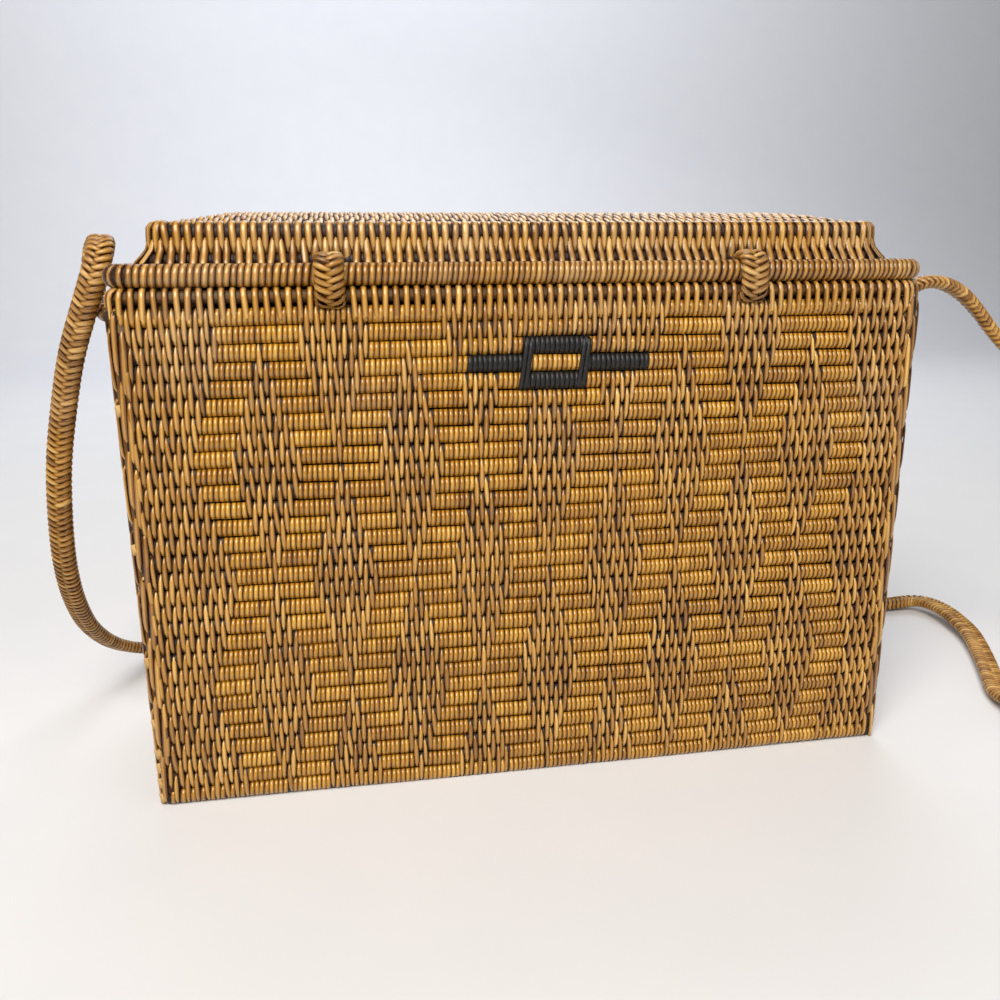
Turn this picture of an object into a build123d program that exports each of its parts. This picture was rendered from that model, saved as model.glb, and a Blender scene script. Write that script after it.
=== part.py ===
"""A hand-woven vine box bag: five laced panels, a raised lid that turns in two plaited loops,
a black link ornament on the front and a plaited shoulder strap. Millimetres.
The origin is at the middle of the underside, X runs along the bag, +Y goes to its back, +Z is up.
"""
import os
from math import copysign, radians, tan

from build123d import *

# Driving dimensions of the basket
body_width = 240.0
body_depth = 80.0
wall = 4.4
row_pitch = 5.0  # one wrapped rod of the weave
stitch_pitch = 2.93  # one long stitch
panel_rows = 30
base_rows = 15
rim_rod = 4.4  # diameter of the rod along the top edge
corner_rounding = 3.4
rod_sides = 12  # of a bent rod's section

# Relief of the weave
relief = 0.5  # how far a wrapped rod stands out of the stitched ground
rod_height = 4.4  # a wrapped rod's visible height
valley = 0.6  # depth of the furrow between rods on the plain walls
root = 1.0  # how far a rod's ridge is rooted in its wall
shortest_rod = 2.0
lacing_pitch = 18.75  # one long lacing stitch on a corner
lacing_bulge = 0.6

# The lozenge pattern of the front, counted in stitches and rows from the top of the panel
pattern_centre = 2.0
pattern_half_width = 103.0
lozenge_stitches = 7
lozenge_columns = 14  # stitches from one lozenge to the next
near_rows = (8.5, 22.5)  # middles of the lozenges that stand over the pattern's centre line
between_rows = (1.5, 15.5, 29.5)  # middles of those that stand between them

# The black link ornament and its two bars
link_width = 20.0
link_side = 3.0
link_row = 3
link_centre = 3.5
link_bar_length = 17.6
link_bar_gap = 0.4
stitched_margin = 33.0  # half the width of the stitched ground above the link

# Lashings over the rim rod
lashing_width = 1.5
lashing_length = 9.2
lashing_margin = 0.5

# Lid
lid_roll = 6.5  # diameter of the wrapped rim
lid_roll_corner = 11.0  # its outer radius on plan
lid_inset = 12.0  # from the bag's outline to the raised part
lid_wall = 3.2
lid_tuck = 2.0  # how far the flange starts below the top of the rim
lid_foot_height = 2.0
lid_flange_height = 6.8
lid_crown_height = 5.7
lid_foot_corner_share = 0.5  # how much a wall's inner foot corner tightens with its thickness
lid_crown_corner = 6.0
lid_crown_rise = 1.5  # the top's swell in the middle
lid_top_thickness = 3.5
lid_rows = 10

# Hinge loops
loop_places = (-60.0, 63.0)
loop_width = 8.0
loop_thickness = 2.2
loop_slot = 1.9  # room round a loop in the lid's flange

# Shoulder strap
strap_width = 8.0
strap_thickness = 4.6
strap_height = 145.0
route_height = 145.0  # the strap height and the half width that the strap's route was drawn for
route_half_width = 120.0
knot_length = 11.0
knot_width = 13.0
knot_edge = 2.0
knot_sides = 8
strap_arc_share = 0.45

# Fits
running_gap = 0.3  # between pieces that move
seat_gap = 0.1  # between curved pieces that lie together
overrun = 2.0  # how far a cut runs past what it cuts

# Worked out from the sizes above
panel_height = panel_rows * row_pitch
half_width = body_width / 2
half_depth = body_depth / 2
inner_half_width = half_width - wall
inner_half_depth = half_depth - wall
rim_rod_inset = relief + running_gap / 2 + rim_rod / 2
rim_rod_z = panel_height + running_gap + rim_rod / 2
body_top = rim_rod_z + rim_rod / 2
roll_y = -half_depth + lid_roll / 2
roll_z = body_top + running_gap + lid_roll / 2
flange_z = roll_z + lid_roll / 2 - lid_tuck
crown_z = flange_z + lid_flange_height
lid_top_z = crown_z + lid_crown_height
ground_y = -half_depth + relief
loop_inner = lid_roll / 2 + running_gap
loop_outer = loop_inner + loop_thickness
loop_bottom = rim_rod_z - rim_rod / 2 - running_gap - loop_thickness
link_z = panel_height - (link_row + 0.5) * row_pitch


def row_z(row):
    """The height of a row's middle, counted from the top of a panel."""
    return panel_height - (row + 0.5) * row_pitch


def rod_ridge(start, end, row):
    """The outer half of one wrapped rod, rooted in the front wall."""
    z = row_z(row)
    low, high = z - rod_height / 2, z + rod_height / 2
    arc = ThreePointArc((ground_y, low), (-half_depth, z), (ground_y, high))
    back = Polyline((ground_y, high), (ground_y + root, high), (ground_y + root, low), (ground_y, low))
    profile = Plane.YZ * make_face(arc + back)
    return Pos(start, 0, 0) * extrude(profile, amount=end - start)


def lozenge_places():
    """Each lozenge as its middle along X and the row boundary that it is centred on."""
    pitch = lozenge_columns * stitch_pitch
    for column in range(-2, 3):
        for row in near_rows:
            yield pattern_centre + column * pitch, row
    for column in range(-3, 3):
        for row in between_rows:
            yield pattern_centre + (column + 0.5) * pitch, row


def stitched_stretches(row):
    """Where a row of the front is covered by long stitches instead of a wrapped rod."""
    ends = inner_half_width + overrun
    stretches = [(-ends, pattern_centre - pattern_half_width), (pattern_centre + pattern_half_width, ends)]
    for middle, boundary in lozenge_places():
        stitches = lozenge_stitches - abs(row - boundary) + 0.5
        if stitches >= 1:
            half = stitches * stitch_pitch / 2
            stretches.append((middle - half, middle + half))
    if row in (link_row - 2, link_row - 1):
        stretches.append((link_centre - stitched_margin, link_centre + stitched_margin))
    if row == link_row:
        reach = link_width / 2 + 2 * link_bar_gap + link_bar_length
        inner = link_width / 2 - link_side - link_bar_gap
        stretches.append((link_centre - reach, link_centre - inner))
        stretches.append((link_centre + inner, link_centre + reach))
    if row == link_row + 1:
        reach = link_width / 2 + link_bar_gap
        stretches.append((link_centre - reach, link_centre + reach))
    return sorted(stretches)


def wrapped_stretches(row):
    """The rest of a row: the rods that show."""
    reached = -inner_half_width
    for start, end in stitched_stretches(row):
        stop = min(start, inner_half_width)
        if stop - reached > shortest_rod:
            yield reached, stop
        reached = max(reached, end)
    if inner_half_width - reached > shortest_rod:
        yield reached, inner_half_width


def loop_passage(x):
    """The opening under the rim rod that a hinge loop passes through."""
    floor = loop_bottom - running_gap
    height = body_top + overrun - floor
    room = Box(loop_width + 2 * running_gap, wall + 2 * overrun, height)
    return Pos(x, -half_depth + wall / 2, floor + height / 2) * room


def rim_lashings():
    """The spaced stitches that tie the rim rod to the top row of the front."""
    count = int((2 * inner_half_width - 2 * lashing_margin) / stitch_pitch)
    bottom = body_top - lashing_length - running_gap
    clear = loop_width / 2 + running_gap + lashing_width / 2
    lashings = []
    for number in range(count):
        x = (number - (count - 1) / 2) * stitch_pitch
        if min(abs(x - place) for place in loop_places) > clear:
            band = Box(lashing_width, relief, lashing_length)
            lashings.append(Pos(x, -half_depth + relief / 2, bottom + lashing_length / 2) * band)
    return lashings


def front_panel():
    """The patterned wall: wrapped rods in relief round stitched lozenges, lashed along the top."""
    ground = Box(2 * inner_half_width, wall - relief, panel_height)
    ground = Pos(0, (ground_y - inner_half_depth) / 2, panel_height / 2) * ground
    rods = [rod_ridge(-inner_half_width, inner_half_width, panel_rows - 1)]
    for row in range(1, panel_rows - 1):
        rods += [rod_ridge(start, end, row) for start, end in wrapped_stretches(row)]
    panel = ground + rods + rim_lashings()
    for place in loop_places:
        panel -= loop_passage(place)
    return panel


def furrowed_section(length, thickness, rows, swell=0):
    """A mat's cross section: a round ridge for each rod on top, swelling towards the middle."""

    def on_top(step, drop):
        share = 2 * step / rows - 1
        return share * length / 2, thickness - drop + swell * (1 - share**2)

    top = [
        ThreePointArc(on_top(number, valley), on_top(number + 0.5, 0), on_top(number + 1, valley))
        for number in range(rows)
    ]
    start, end = on_top(0, valley), on_top(rows, valley)
    sides = Polyline(end, (length / 2, 0), (-length / 2, 0), start)
    return make_face(top + [sides])


def plain_wall(length):
    """An upright wall of plain rows, its ridges on +Y and its inner face on the XZ plane."""
    section = furrowed_section(panel_height, wall, panel_rows)
    across = Plane(origin=(length / 2, 0, panel_height / 2), x_dir=(0, 0, 1), z_dir=(-1, 0, 0))
    return extrude(across * section, amount=length)


def corner_lacing(side_x, side_y):
    """A corner post of long lacing stitches, which holds two walls together."""
    count = round(panel_height / lacing_pitch)
    pitch = panel_height / count
    outer = wall - lacing_bulge
    arcs = [
        ThreePointArc((outer, n * pitch), (wall, (n + 0.5) * pitch), (outer, (n + 1) * pitch))
        for n in range(count)
    ]
    rest = Polyline((outer, panel_height), (0, panel_height), (0, 0), (outer, 0))
    section = Plane.XZ * make_face(arcs + [rest])
    post = revolve(section, Axis.Z, 90)
    turn = {(1, 1): 0, (-1, 1): 90, (-1, -1): 180, (1, -1): 270}[(side_x, side_y)]
    return Pos(side_x * inner_half_width, side_y * inner_half_depth, 0) * Rot(0, 0, turn) * post


def base_panel():
    """The floor: ridges inside, flat lands with furrows underneath."""
    section = furrowed_section(2 * inner_half_depth, wall, base_rows)
    for number in range(1, base_rows):
        furrow = Rectangle(valley, 2 * valley)
        section -= Pos((number - base_rows / 2) * 2 * inner_half_depth / base_rows, 0) * furrow
    across = Plane(origin=(-inner_half_width, 0, 0), x_dir=(0, 1, 0), z_dir=(1, 0, 0))
    return extrude(across * section, amount=2 * inner_half_width)


def rod_ring(inset, corner, diameter, z):
    """A rod bent to a rounded rectangle, its centre line inset from the bag's outline."""
    half_x, half_y = half_width - inset, half_depth - inset
    straight_x, straight_y = half_x - corner, half_y - corner
    section = RegularPolygon(diameter / 2, rod_sides)
    along = extrude(Plane.YZ * section, amount=straight_x, both=True)
    across = extrude(Plane.XZ * section, amount=straight_y, both=True)
    bend = revolve(Plane.XZ * Pos(corner, 0) * section, Axis.Z, 90)
    ring = Pos(0, half_y, 0) * along + Pos(0, -half_y, 0) * along
    ring += Pos(half_x, 0, 0) * across + Pos(-half_x, 0, 0) * across
    for turn, side_x, side_y in ((0, 1, 1), (90, -1, 1), (180, -1, -1), (270, 1, -1)):
        ring += Pos(side_x * straight_x, side_y * straight_y, 0) * Rot(0, 0, turn) * bend
    return Pos(0, 0, z) * ring


def link_ornament():
    """The black link: two wrapped rods joined at their ends by upright sides."""
    left, right = link_centre - link_width / 2, link_centre + link_width / 2
    ring = None
    for row in (link_row - 1, link_row + 1):
        rod = rod_ridge(left, right, row)
        ring = rod if ring is None else ring + rod
    side = Box(link_side, relief + root, 2 * row_pitch)
    for x in (left + link_side / 2, right - link_side / 2):
        ring += Pos(x, ground_y + (root - relief) / 2, link_z) * side
    return ring - front_ground()


def link_bar(side):
    """A black wrapped rod beside the link."""
    near = link_centre + side * (link_width / 2 + link_bar_gap)
    far = near + side * link_bar_length
    return rod_ridge(min(near, far), max(near, far), link_row) - front_ground()


def front_ground():
    """The stitched ground of the front, which the ornament lies on."""
    ground = Box(body_width, wall, panel_height)
    return Pos(0, ground_y + wall / 2, panel_height / 2) * ground


def rounded_outline(half_x, half_y, corner):
    """A rectangle with round corners, from its half sizes."""
    return RectangleRounded(2 * half_x, 2 * half_y, corner)


def skirt_body(inset):
    """The raised lid's sides, filled: a foot, a sloping flange and an upright crown wall."""
    foot = lid_roll + seat_gap + inset
    crown = lid_inset + inset
    foot_corner = lid_roll_corner - lid_roll - inset * lid_foot_corner_share
    crown_corner = lid_crown_corner - inset
    low = rounded_outline(half_width - foot, half_depth - foot, foot_corner)
    high = rounded_outline(half_width - crown, half_depth - crown, crown_corner)
    body = extrude(Pos(0, 0, flange_z - lid_foot_height) * low, amount=lid_foot_height)
    body += loft([Pos(0, 0, flange_z) * low, Pos(0, 0, crown_z) * high], ruled=True)
    return body + extrude(Pos(0, 0, crown_z) * high, amount=lid_crown_height)


def lid_skirt():
    """The woven side of the lid, notched where the hinge loops go round the rim."""
    skirt = skirt_body(0) - skirt_body(lid_wall)
    for place in loop_places:
        notch = Cylinder(loop_outer + loop_slot, loop_width + 2 * running_gap)
        skirt -= Pos(place, roll_y, roll_z) * Rot(0, 90, 0) * notch
    return skirt


def lid_top_panel():
    """The swelling top mat of the lid, set inside the crown wall with its corners cut off."""
    gap = lid_inset + lid_wall + seat_gap
    half_x, half_y = half_width - gap, half_depth - gap
    section = furrowed_section(2 * half_y, lid_top_thickness, lid_rows, lid_crown_rise)
    across = Plane(origin=(-half_x, 0, lid_top_z - lid_top_thickness), x_dir=(0, 1, 0), z_dir=(1, 0, 0))
    mat = extrude(across * section, amount=2 * half_x)
    return chamfer(mat.edges().filter_by(Axis.Z), lid_crown_corner - lid_wall)


def hinge_loop(x):
    """A flat plaited loop round the lid's rim and the basket's rim rod."""
    outer = loop_outline(loop_outer, loop_bottom)
    inner = loop_outline(loop_inner, loop_bottom + loop_thickness)
    loop = extrude(Plane.YZ * (outer - inner), amount=loop_width)
    return Pos(x - loop_width / 2, 0, 0) * loop


def loop_outline(radius, bottom):
    """A round top about the rim's axis on straight legs, with a rounded foot."""
    legs = Pos(roll_y, (roll_z + bottom) / 2) * Rectangle(2 * radius, roll_z - bottom)
    legs = fillet(legs.vertices().group_by(Axis.Y)[0], min(radius / 2, loop_thickness))
    return legs + Pos(roll_y, roll_z) * Circle(radius)


def strap_knot(side):
    """The knot inside an end wall that keeps the strap from pulling out."""
    knot = extrude(Plane.YZ * RegularPolygon(knot_width / 2, knot_sides), amount=knot_length)
    knot = chamfer(knot.faces().filter_by(Plane.YZ).edges(), knot_edge)
    middle = inner_half_width - seat_gap - knot_length / 2
    return Pos(side * middle - knot_length / 2, 0, strap_height) * knot


# The strap's route from the left knot, up over a fold, down, along the table and up to the right knot
strap_route = [
    (-115.5, 0.0, 145.0),
    (-125.0, 0.0, 145.0),
    (-132.0, 5.5, 148.5),
    (-134.5, 13.0, 156.5),
    (-133.5, 12.0, 166.0),
    (-129.5, 4.5, 172.0),
    (-127.5, -4.0, 169.0),
    (-129.0, -8.0, 160.5),
    (-132.5, -8.0, 149.0),
    (-137.5, -7.0, 135.0),
    (-142.0, -5.0, 119.0),
    (-146.3, -3.0, 101.0),
    (-148.9, 0.0, 82.0),
    (-151.5, 7.0, 64.0),
    (-153.5, 19.0, 47.0),
    (-154.0, 34.0, 31.0),
    (-150.0, 51.0, 16.5),
    (-139.0, 67.0, 7.0),
    (-119.0, 77.5, 3.0),
    (-88.0, 79.5, 3.0),
    (-46.0, 75.0, 3.0),
    (4.0, 71.0, 3.0),
    (56.0, 70.0, 3.0),
    (104.0, 72.5, 3.0),
    (143.0, 71.5, 3.0),
    (171.5, 67.3, 3.0),
    (184.0, 65.2, 3.0),
    (194.5, 61.0, 3.0),
    (202.5, 54.0, 3.0),
    (207.0, 44.5, 3.0),
    (207.5, 34.0, 3.0),
    (204.5, 22.5, 3.0),
    (199.0, 10.0, 3.0),
    (191.0, -7.0, 3.0),
    (181.5, -25.0, 3.0),
    (176.5, -42.0, 6.5),
    (178.5, -57.0, 14.5),
    (187.5, -66.5, 27.5),
    (198.5, -66.0, 45.0),
    (206.0, -56.5, 64.0),
    (207.5, -42.5, 83.0),
    (203.5, -27.0, 100.5),
    (195.0, -13.5, 115.5),
    (184.0, -4.5, 130.0),
    (172.5, -0.5, 144.0),
    (163.0, 0.4, 150.8),
    (153.5, 0.3, 153.8),
    (144.0, 0.0, 152.3),
    (134.5, 0.0, 148.2),
    (125.0, 0.0, 145.0),
    (115.5, 0.0, 145.0),
]


def strap_radii(points):
    """The largest radius that each corner's two runs leave room for."""
    radii = []
    for before, here, after in zip(points, points[1:], points[2:]):
        first, second = here - before, after - here
        room = strap_arc_share * min(first.length, second.length)
        radii.append(room / tan(radians(first.get_angle(second) / 2)))
    return radii


def strap_points():
    """The route, moved with the bag's ends and with the height that the strap comes out at."""
    out = half_width - route_half_width
    lift = strap_height / route_height
    return [Vector(x + copysign(out, x), y, z * lift) for x, y, z in strap_route]


def strap_path():
    """Straight runs joined by the largest arcs that fit."""
    points = strap_points()
    return FilletPolyline(*points, radius=strap_radii(points))


def strap_band(room):
    """The strap's flat band along its route, with room added all round."""
    path = strap_path()
    start = Plane(origin=path @ 0, x_dir=(0, 1, 0), z_dir=path % 0)
    section = start * Rectangle(strap_width + 2 * room, strap_thickness + 2 * room)
    return sweep(section, path=path)


def report_strap(band):
    """Print the strap's length, its bends, and its volume beside its section times its length."""
    path = strap_path()
    radii = strap_radii(strap_points())
    print("strap length", round(path.length, 1), "smallest radius", round(min(radii), 1))
    expected = strap_width * strap_thickness * path.length
    print("strap volume", round(band.volume), "section by length", round(expected))
    print("strap radii", [round(radius) for radius in radii])


def end_panel(side):
    """An end wall with the slot that the strap goes through to its knot."""
    panel = Pos(side * inner_half_width, 0, 0) * Rot(0, 0, -90 * side) * plain_wall(2 * inner_half_depth)
    return panel - strap_band(running_gap)


shoulder_strap = strap_band(0)
report_strap(shoulder_strap)

nodes = {
    "front_panel": front_panel(),
    "back_panel": Pos(0, inner_half_depth, 0) * plain_wall(2 * inner_half_width),
    "left_end_panel": end_panel(-1),
    "right_end_panel": end_panel(1),
    "base_panel": base_panel(),
    "corner_lacing_front_left": corner_lacing(-1, -1),
    "corner_lacing_front_right": corner_lacing(1, -1),
    "corner_lacing_back_left": corner_lacing(-1, 1),
    "corner_lacing_back_right": corner_lacing(1, 1),
    "body_rim_rod": rod_ring(rim_rod_inset, corner_rounding, rim_rod, rim_rod_z),
    "black_link": link_ornament(),
    "black_bar_left": link_bar(-1),
    "black_bar_right": link_bar(1),
    "hinge_loop_left": hinge_loop(loop_places[0]),
    "hinge_loop_right": hinge_loop(loop_places[1]),
    "strap_knot_left": strap_knot(-1),
    "strap_knot_right": strap_knot(1),
    "shoulder_strap": shoulder_strap,
    "lid_rim_roll": rod_ring(lid_roll / 2, lid_roll_corner - lid_roll / 2, lid_roll, roll_z),
    "lid_skirt": lid_skirt(),
    "lid_top_panel": lid_top_panel(),
}

os.makedirs("parts", exist_ok=True)
for name, solid in nodes.items():
    export_step(solid, f"parts/{name}.step")
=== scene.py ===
# %% [markdown]
# # A box bag woven from split vine
# The bag is a rectangular basket: rods lie in rows, and thin strips of split vine are wrapped and
# stitched over them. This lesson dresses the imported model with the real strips. Every strip is a small
# closed mesh, so the weave keeps its shape from any side. All sizes below are in millimetres, and one
# function turns them to metres when a mesh is made.

from math import atan, degrees, pi, radians

import bpy
import numpy as np
from mathutils import Matrix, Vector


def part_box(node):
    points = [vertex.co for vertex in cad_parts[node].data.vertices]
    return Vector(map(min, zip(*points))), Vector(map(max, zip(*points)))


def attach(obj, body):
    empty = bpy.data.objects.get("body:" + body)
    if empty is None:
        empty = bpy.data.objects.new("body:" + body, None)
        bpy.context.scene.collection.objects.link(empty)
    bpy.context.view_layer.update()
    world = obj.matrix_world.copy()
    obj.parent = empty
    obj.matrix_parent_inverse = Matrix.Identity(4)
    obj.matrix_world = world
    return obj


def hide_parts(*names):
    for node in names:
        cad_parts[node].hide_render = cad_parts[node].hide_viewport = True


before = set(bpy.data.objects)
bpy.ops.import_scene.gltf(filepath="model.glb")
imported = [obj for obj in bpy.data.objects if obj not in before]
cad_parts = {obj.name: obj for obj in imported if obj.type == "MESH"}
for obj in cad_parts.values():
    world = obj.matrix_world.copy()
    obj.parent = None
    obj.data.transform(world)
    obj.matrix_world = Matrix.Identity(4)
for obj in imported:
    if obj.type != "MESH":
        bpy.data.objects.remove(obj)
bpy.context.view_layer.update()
MM = 0.001
rng = np.random.default_rng(12)


def span(node):
    """A node's lowest and highest corner, in millimetres."""
    return tuple(np.array(corner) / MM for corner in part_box(node))


half_width, half_depth = span("corner_lacing_back_right")[1][:2]
panel_height = span("back_panel")[1][2]
inner_half_width, inner_half_depth = span("base_panel")[1][:2]
rod_rows = 30
row = panel_height / rod_rows
slot_width = 1.465
pattern_centre = 2.0
print("body", round(2 * half_width), "by", round(2 * half_depth), "rows of", round(row, 2), "mm")

# %% [markdown]
# ## One strip, many times
# A strip could be a curve with a bevel, but the bag has more than twelve thousand of them, and that many
# curves are slow. So a whole batch is made at once with numpy: each strip has a middle line, a direction that
# faces out, a half width and a half thickness at each step, and a small cross section. Each vertex also
# keeps its strip's tone and its place along and across the strip, which the materials read.

# %% Strip builder
stitch_section = np.array([(1, -0.25), (0.72, 0.55), (0, 1), (-0.72, 0.55), (-1, -0.25)])
wrap_section = np.array([(1, -0.6), (0.88, 0.8), (-0.88, 0.8), (-1, -0.6)])
wrap_crisp = (0, 2, 3)
stitch_half_thick = 0.42
wrap_half_thick = 0.34


def round_section(sides):
    """A circle of radius 1 with its first point sideways and its top facing out."""
    turn = 2 * pi * np.arange(sides) / sides
    return np.stack([np.cos(turn), np.sin(turn)], axis=1)


def unit(vectors):
    """The same directions with length 1."""
    return vectors / np.maximum(np.linalg.norm(vectors, axis=-1, keepdims=True), 1e-9)


def strips(line, out, half_wide, half_thick, section, tone=0.5, closed=False, crisp=()):
    """A batch of closed strips; line and out have the shape (strips, steps, 3), crisp sides stay flat."""
    count, steps = line.shape[:2]
    sides = len(section)
    if closed:
        ahead = unit(np.roll(line, -1, axis=1) - np.roll(line, 1, axis=1))
    else:
        ahead = unit(np.gradient(line, axis=1))
    side = unit(np.cross(np.broadcast_to(out, line.shape), ahead))
    face = np.cross(ahead, side)
    wide = np.broadcast_to(half_wide, (count, steps))[:, :, None] * section[:, 0]
    thick = np.broadcast_to(half_thick, (count, steps))[:, :, None] * section[:, 1]
    points = line[:, :, None] + wide[..., None] * side[:, :, None] + thick[..., None] * face[:, :, None]
    number = np.arange(count * steps * sides).reshape(count, steps, sides)
    here, there = (number, np.roll(number, -1, axis=1)) if closed else (number[:, :-1], number[:, 1:])
    quads = np.stack([here, np.roll(here, -1, axis=2), np.roll(there, -1, axis=2), there], axis=-1)
    caps = [] if closed else [number[:, 0, ::-1], number[:, -1]]
    soft = np.broadcast_to(~np.isin(np.arange(sides), crisp), quads.shape[:3]).reshape(-1)
    gone = np.linalg.norm(np.diff(line, axis=1, prepend=line[:, :1]), axis=-1).cumsum(axis=1)
    shape = (count, steps, sides)
    return {
        "points": points.reshape(-1, 3),
        "faces": [quads.reshape(-1, 4), *caps],
        "smooth": np.concatenate([soft] + [np.zeros(len(cap), bool) for cap in caps]),
        "tone": np.broadcast_to(tone, shape).reshape(-1),
        "along": np.broadcast_to(gone[:, :, None], shape).reshape(-1),
        "across": np.broadcast_to(wide, shape).reshape(-1),
    }


def random_tones(count, middle, spread):
    """A tone for each strip, about a middle one."""
    return np.clip(rng.normal(middle, spread, count), 0, 1)[:, None, None]


def put(name, data):
    """A new object in the scene."""
    made = bpy.data.objects.new(name, data)
    bpy.context.scene.collection.objects.link(made)
    return made


def make_piece(name, batches, material, replaces=(), body="basket"):
    """Join batches of strips to one mesh that moves with a body of the frame."""
    firsts = np.cumsum([0] + [len(batch["points"]) for batch in batches])
    faces = [face + first for batch, first in zip(batches, firsts) for face in batch["faces"]]
    corners = np.concatenate([face.ravel() for face in faces])
    sizes = np.concatenate([np.full(len(face), face.shape[1]) for face in faces])
    points = np.concatenate([batch["points"] for batch in batches]) * MM
    points[:, 2] = np.maximum(points[:, 2], 0.0)
    mesh = bpy.data.meshes.new(name)
    mesh.vertices.add(len(points))
    mesh.vertices.foreach_set("co", points.ravel())
    mesh.loops.add(len(corners))
    mesh.loops.foreach_set("vertex_index", corners)
    mesh.polygons.add(len(sizes))
    mesh.polygons.foreach_set("loop_start", np.cumsum(sizes) - sizes)
    mesh.update(calc_edges=True)
    mesh.polygons.foreach_set("use_smooth", np.concatenate([batch["smooth"] for batch in batches]))
    for key in ("tone", "along", "across"):
        values = np.concatenate([batch[key] for batch in batches])
        mesh.attributes.new(key, "FLOAT", "POINT").data.foreach_set("value", values)
    mesh.materials.append(material)
    piece = put(name, mesh)
    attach(piece, body)
    if replaces:
        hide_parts(*replaces)
    print(name, int((sizes - 2).sum()), "triangles")
    return piece


# %% [markdown]
# ## Colour and nodes
# Colours are written as the hex values that a picture shows, and one function turns them to the linear
# values that a shader wants. The other functions each add one kind of node, set it and link its inputs,
# so that a material below reads like a recipe.

# %% Colour and node helpers
def linear(code):
    """A hex colour as linear red, green, blue and alpha."""
    parts = [int(code[k : k + 2], 16) / 255 for k in (1, 3, 5)]
    return [(p / 12.92 if p <= 0.04045 else ((p + 0.055) / 1.055) ** 2.4) for p in parts] + [1.0]


def feed(tree, node, inputs):
    """Set a node's inputs; each is either a value or the output of another node."""
    for name, value in inputs.items():
        if isinstance(value, bpy.types.NodeSocket):
            tree.links.new(value, node.inputs[name])
        else:
            node.inputs[name].default_value = value


def add(tree, kind, inputs=None, **settings):
    """Add one node with its settings and inputs."""
    made = tree.nodes.new("ShaderNode" + kind)
    for name, value in settings.items():
        setattr(made, name, value)
    feed(tree, made, inputs or {})
    return made


def stored(tree, name):
    """What the mesh keeps under this name at each vertex."""
    return add(tree, "Attribute", attribute_name=name).outputs["Fac"]


def calculate(tree, operation, *values):
    """The result of one sum."""
    return add(tree, "Math", dict(enumerate(values)), operation=operation).outputs[0]


def ranged(tree, value, from_min=0.0, from_max=1.0, to_min=0.0, to_max=1.0):
    """A value moved from one range to another and held inside it."""
    limits = {"From Min": from_min, "From Max": from_max, "To Min": to_min, "To Max": to_max}
    return add(tree, "MapRange", {"Value": value, **limits}).outputs[0]


def blend(tree, share, first, second, **settings):
    """A mix of two colours."""
    return add(tree, "Mix", {0: share, 6: first, 7: second}, data_type="RGBA", **settings).outputs[2]


def speckle(tree, size, detail):
    """Noise over the whole bag, with patches of about this size in millimetres."""
    place = add(tree, "TexCoord").outputs["Object"]
    inputs = {"Vector": place, "Scale": 1 / (size * MM), "Detail": detail}
    return add(tree, "TexNoise", inputs).outputs["Fac"]


def relief(tree, height, strength, depth):
    """Fine bumps, as a direction for the surface; depth is in millimetres."""
    inputs = {"Height": height, "Strength": strength, "Distance": depth * MM}
    return add(tree, "Bump", inputs).outputs[0]


def new_material(name):
    """An empty material with a glossy surface: its node tree and its shader."""
    material = bpy.data.materials.new(name)
    material.use_nodes = True
    tree = material.node_tree
    return material, tree, tree.nodes["Principled BSDF"]


# %% [markdown]
# ## Varnished split vine
# The strips are split vine, dried, smoked and varnished. The skin side faces out, so the eye sees a
# honey brown with fine fibres along the strip, a soft gloss and a different tone on every strip. The
# upper part has gone greyer with handling, and the lower part is more orange. The colour starts from
# the strip's own tone, fibres are noise stretched along the strip, and a slow noise over the whole bag
# drifts the hue. Each strip is painted paler along its crest, a painted highlight, and darker towards
# its edges, painted shade where the round strip turns away from the light. Wood has an IOR of about
# 1.5, and the varnish is a thin coat. The stitched strips are greyer than the wraps, the lid is the
# most handled part, and the plaits have hardly any varnish left.

# %% Split vine material
fibre_width = 0.35
fibre_length = 9.0
drift_size = 32.0
# Where the painted highlight on a strip's crest ends, where the painted shade at its edges is full, and how
# strong each one is.
crest_half = 0.15
edge_half = 0.8
crest_painted_highlight = 0.2
edge_painted_shade = 0.34
grain_shift = 90.0
orange_below = 0.06
greyed_above = 0.16


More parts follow.
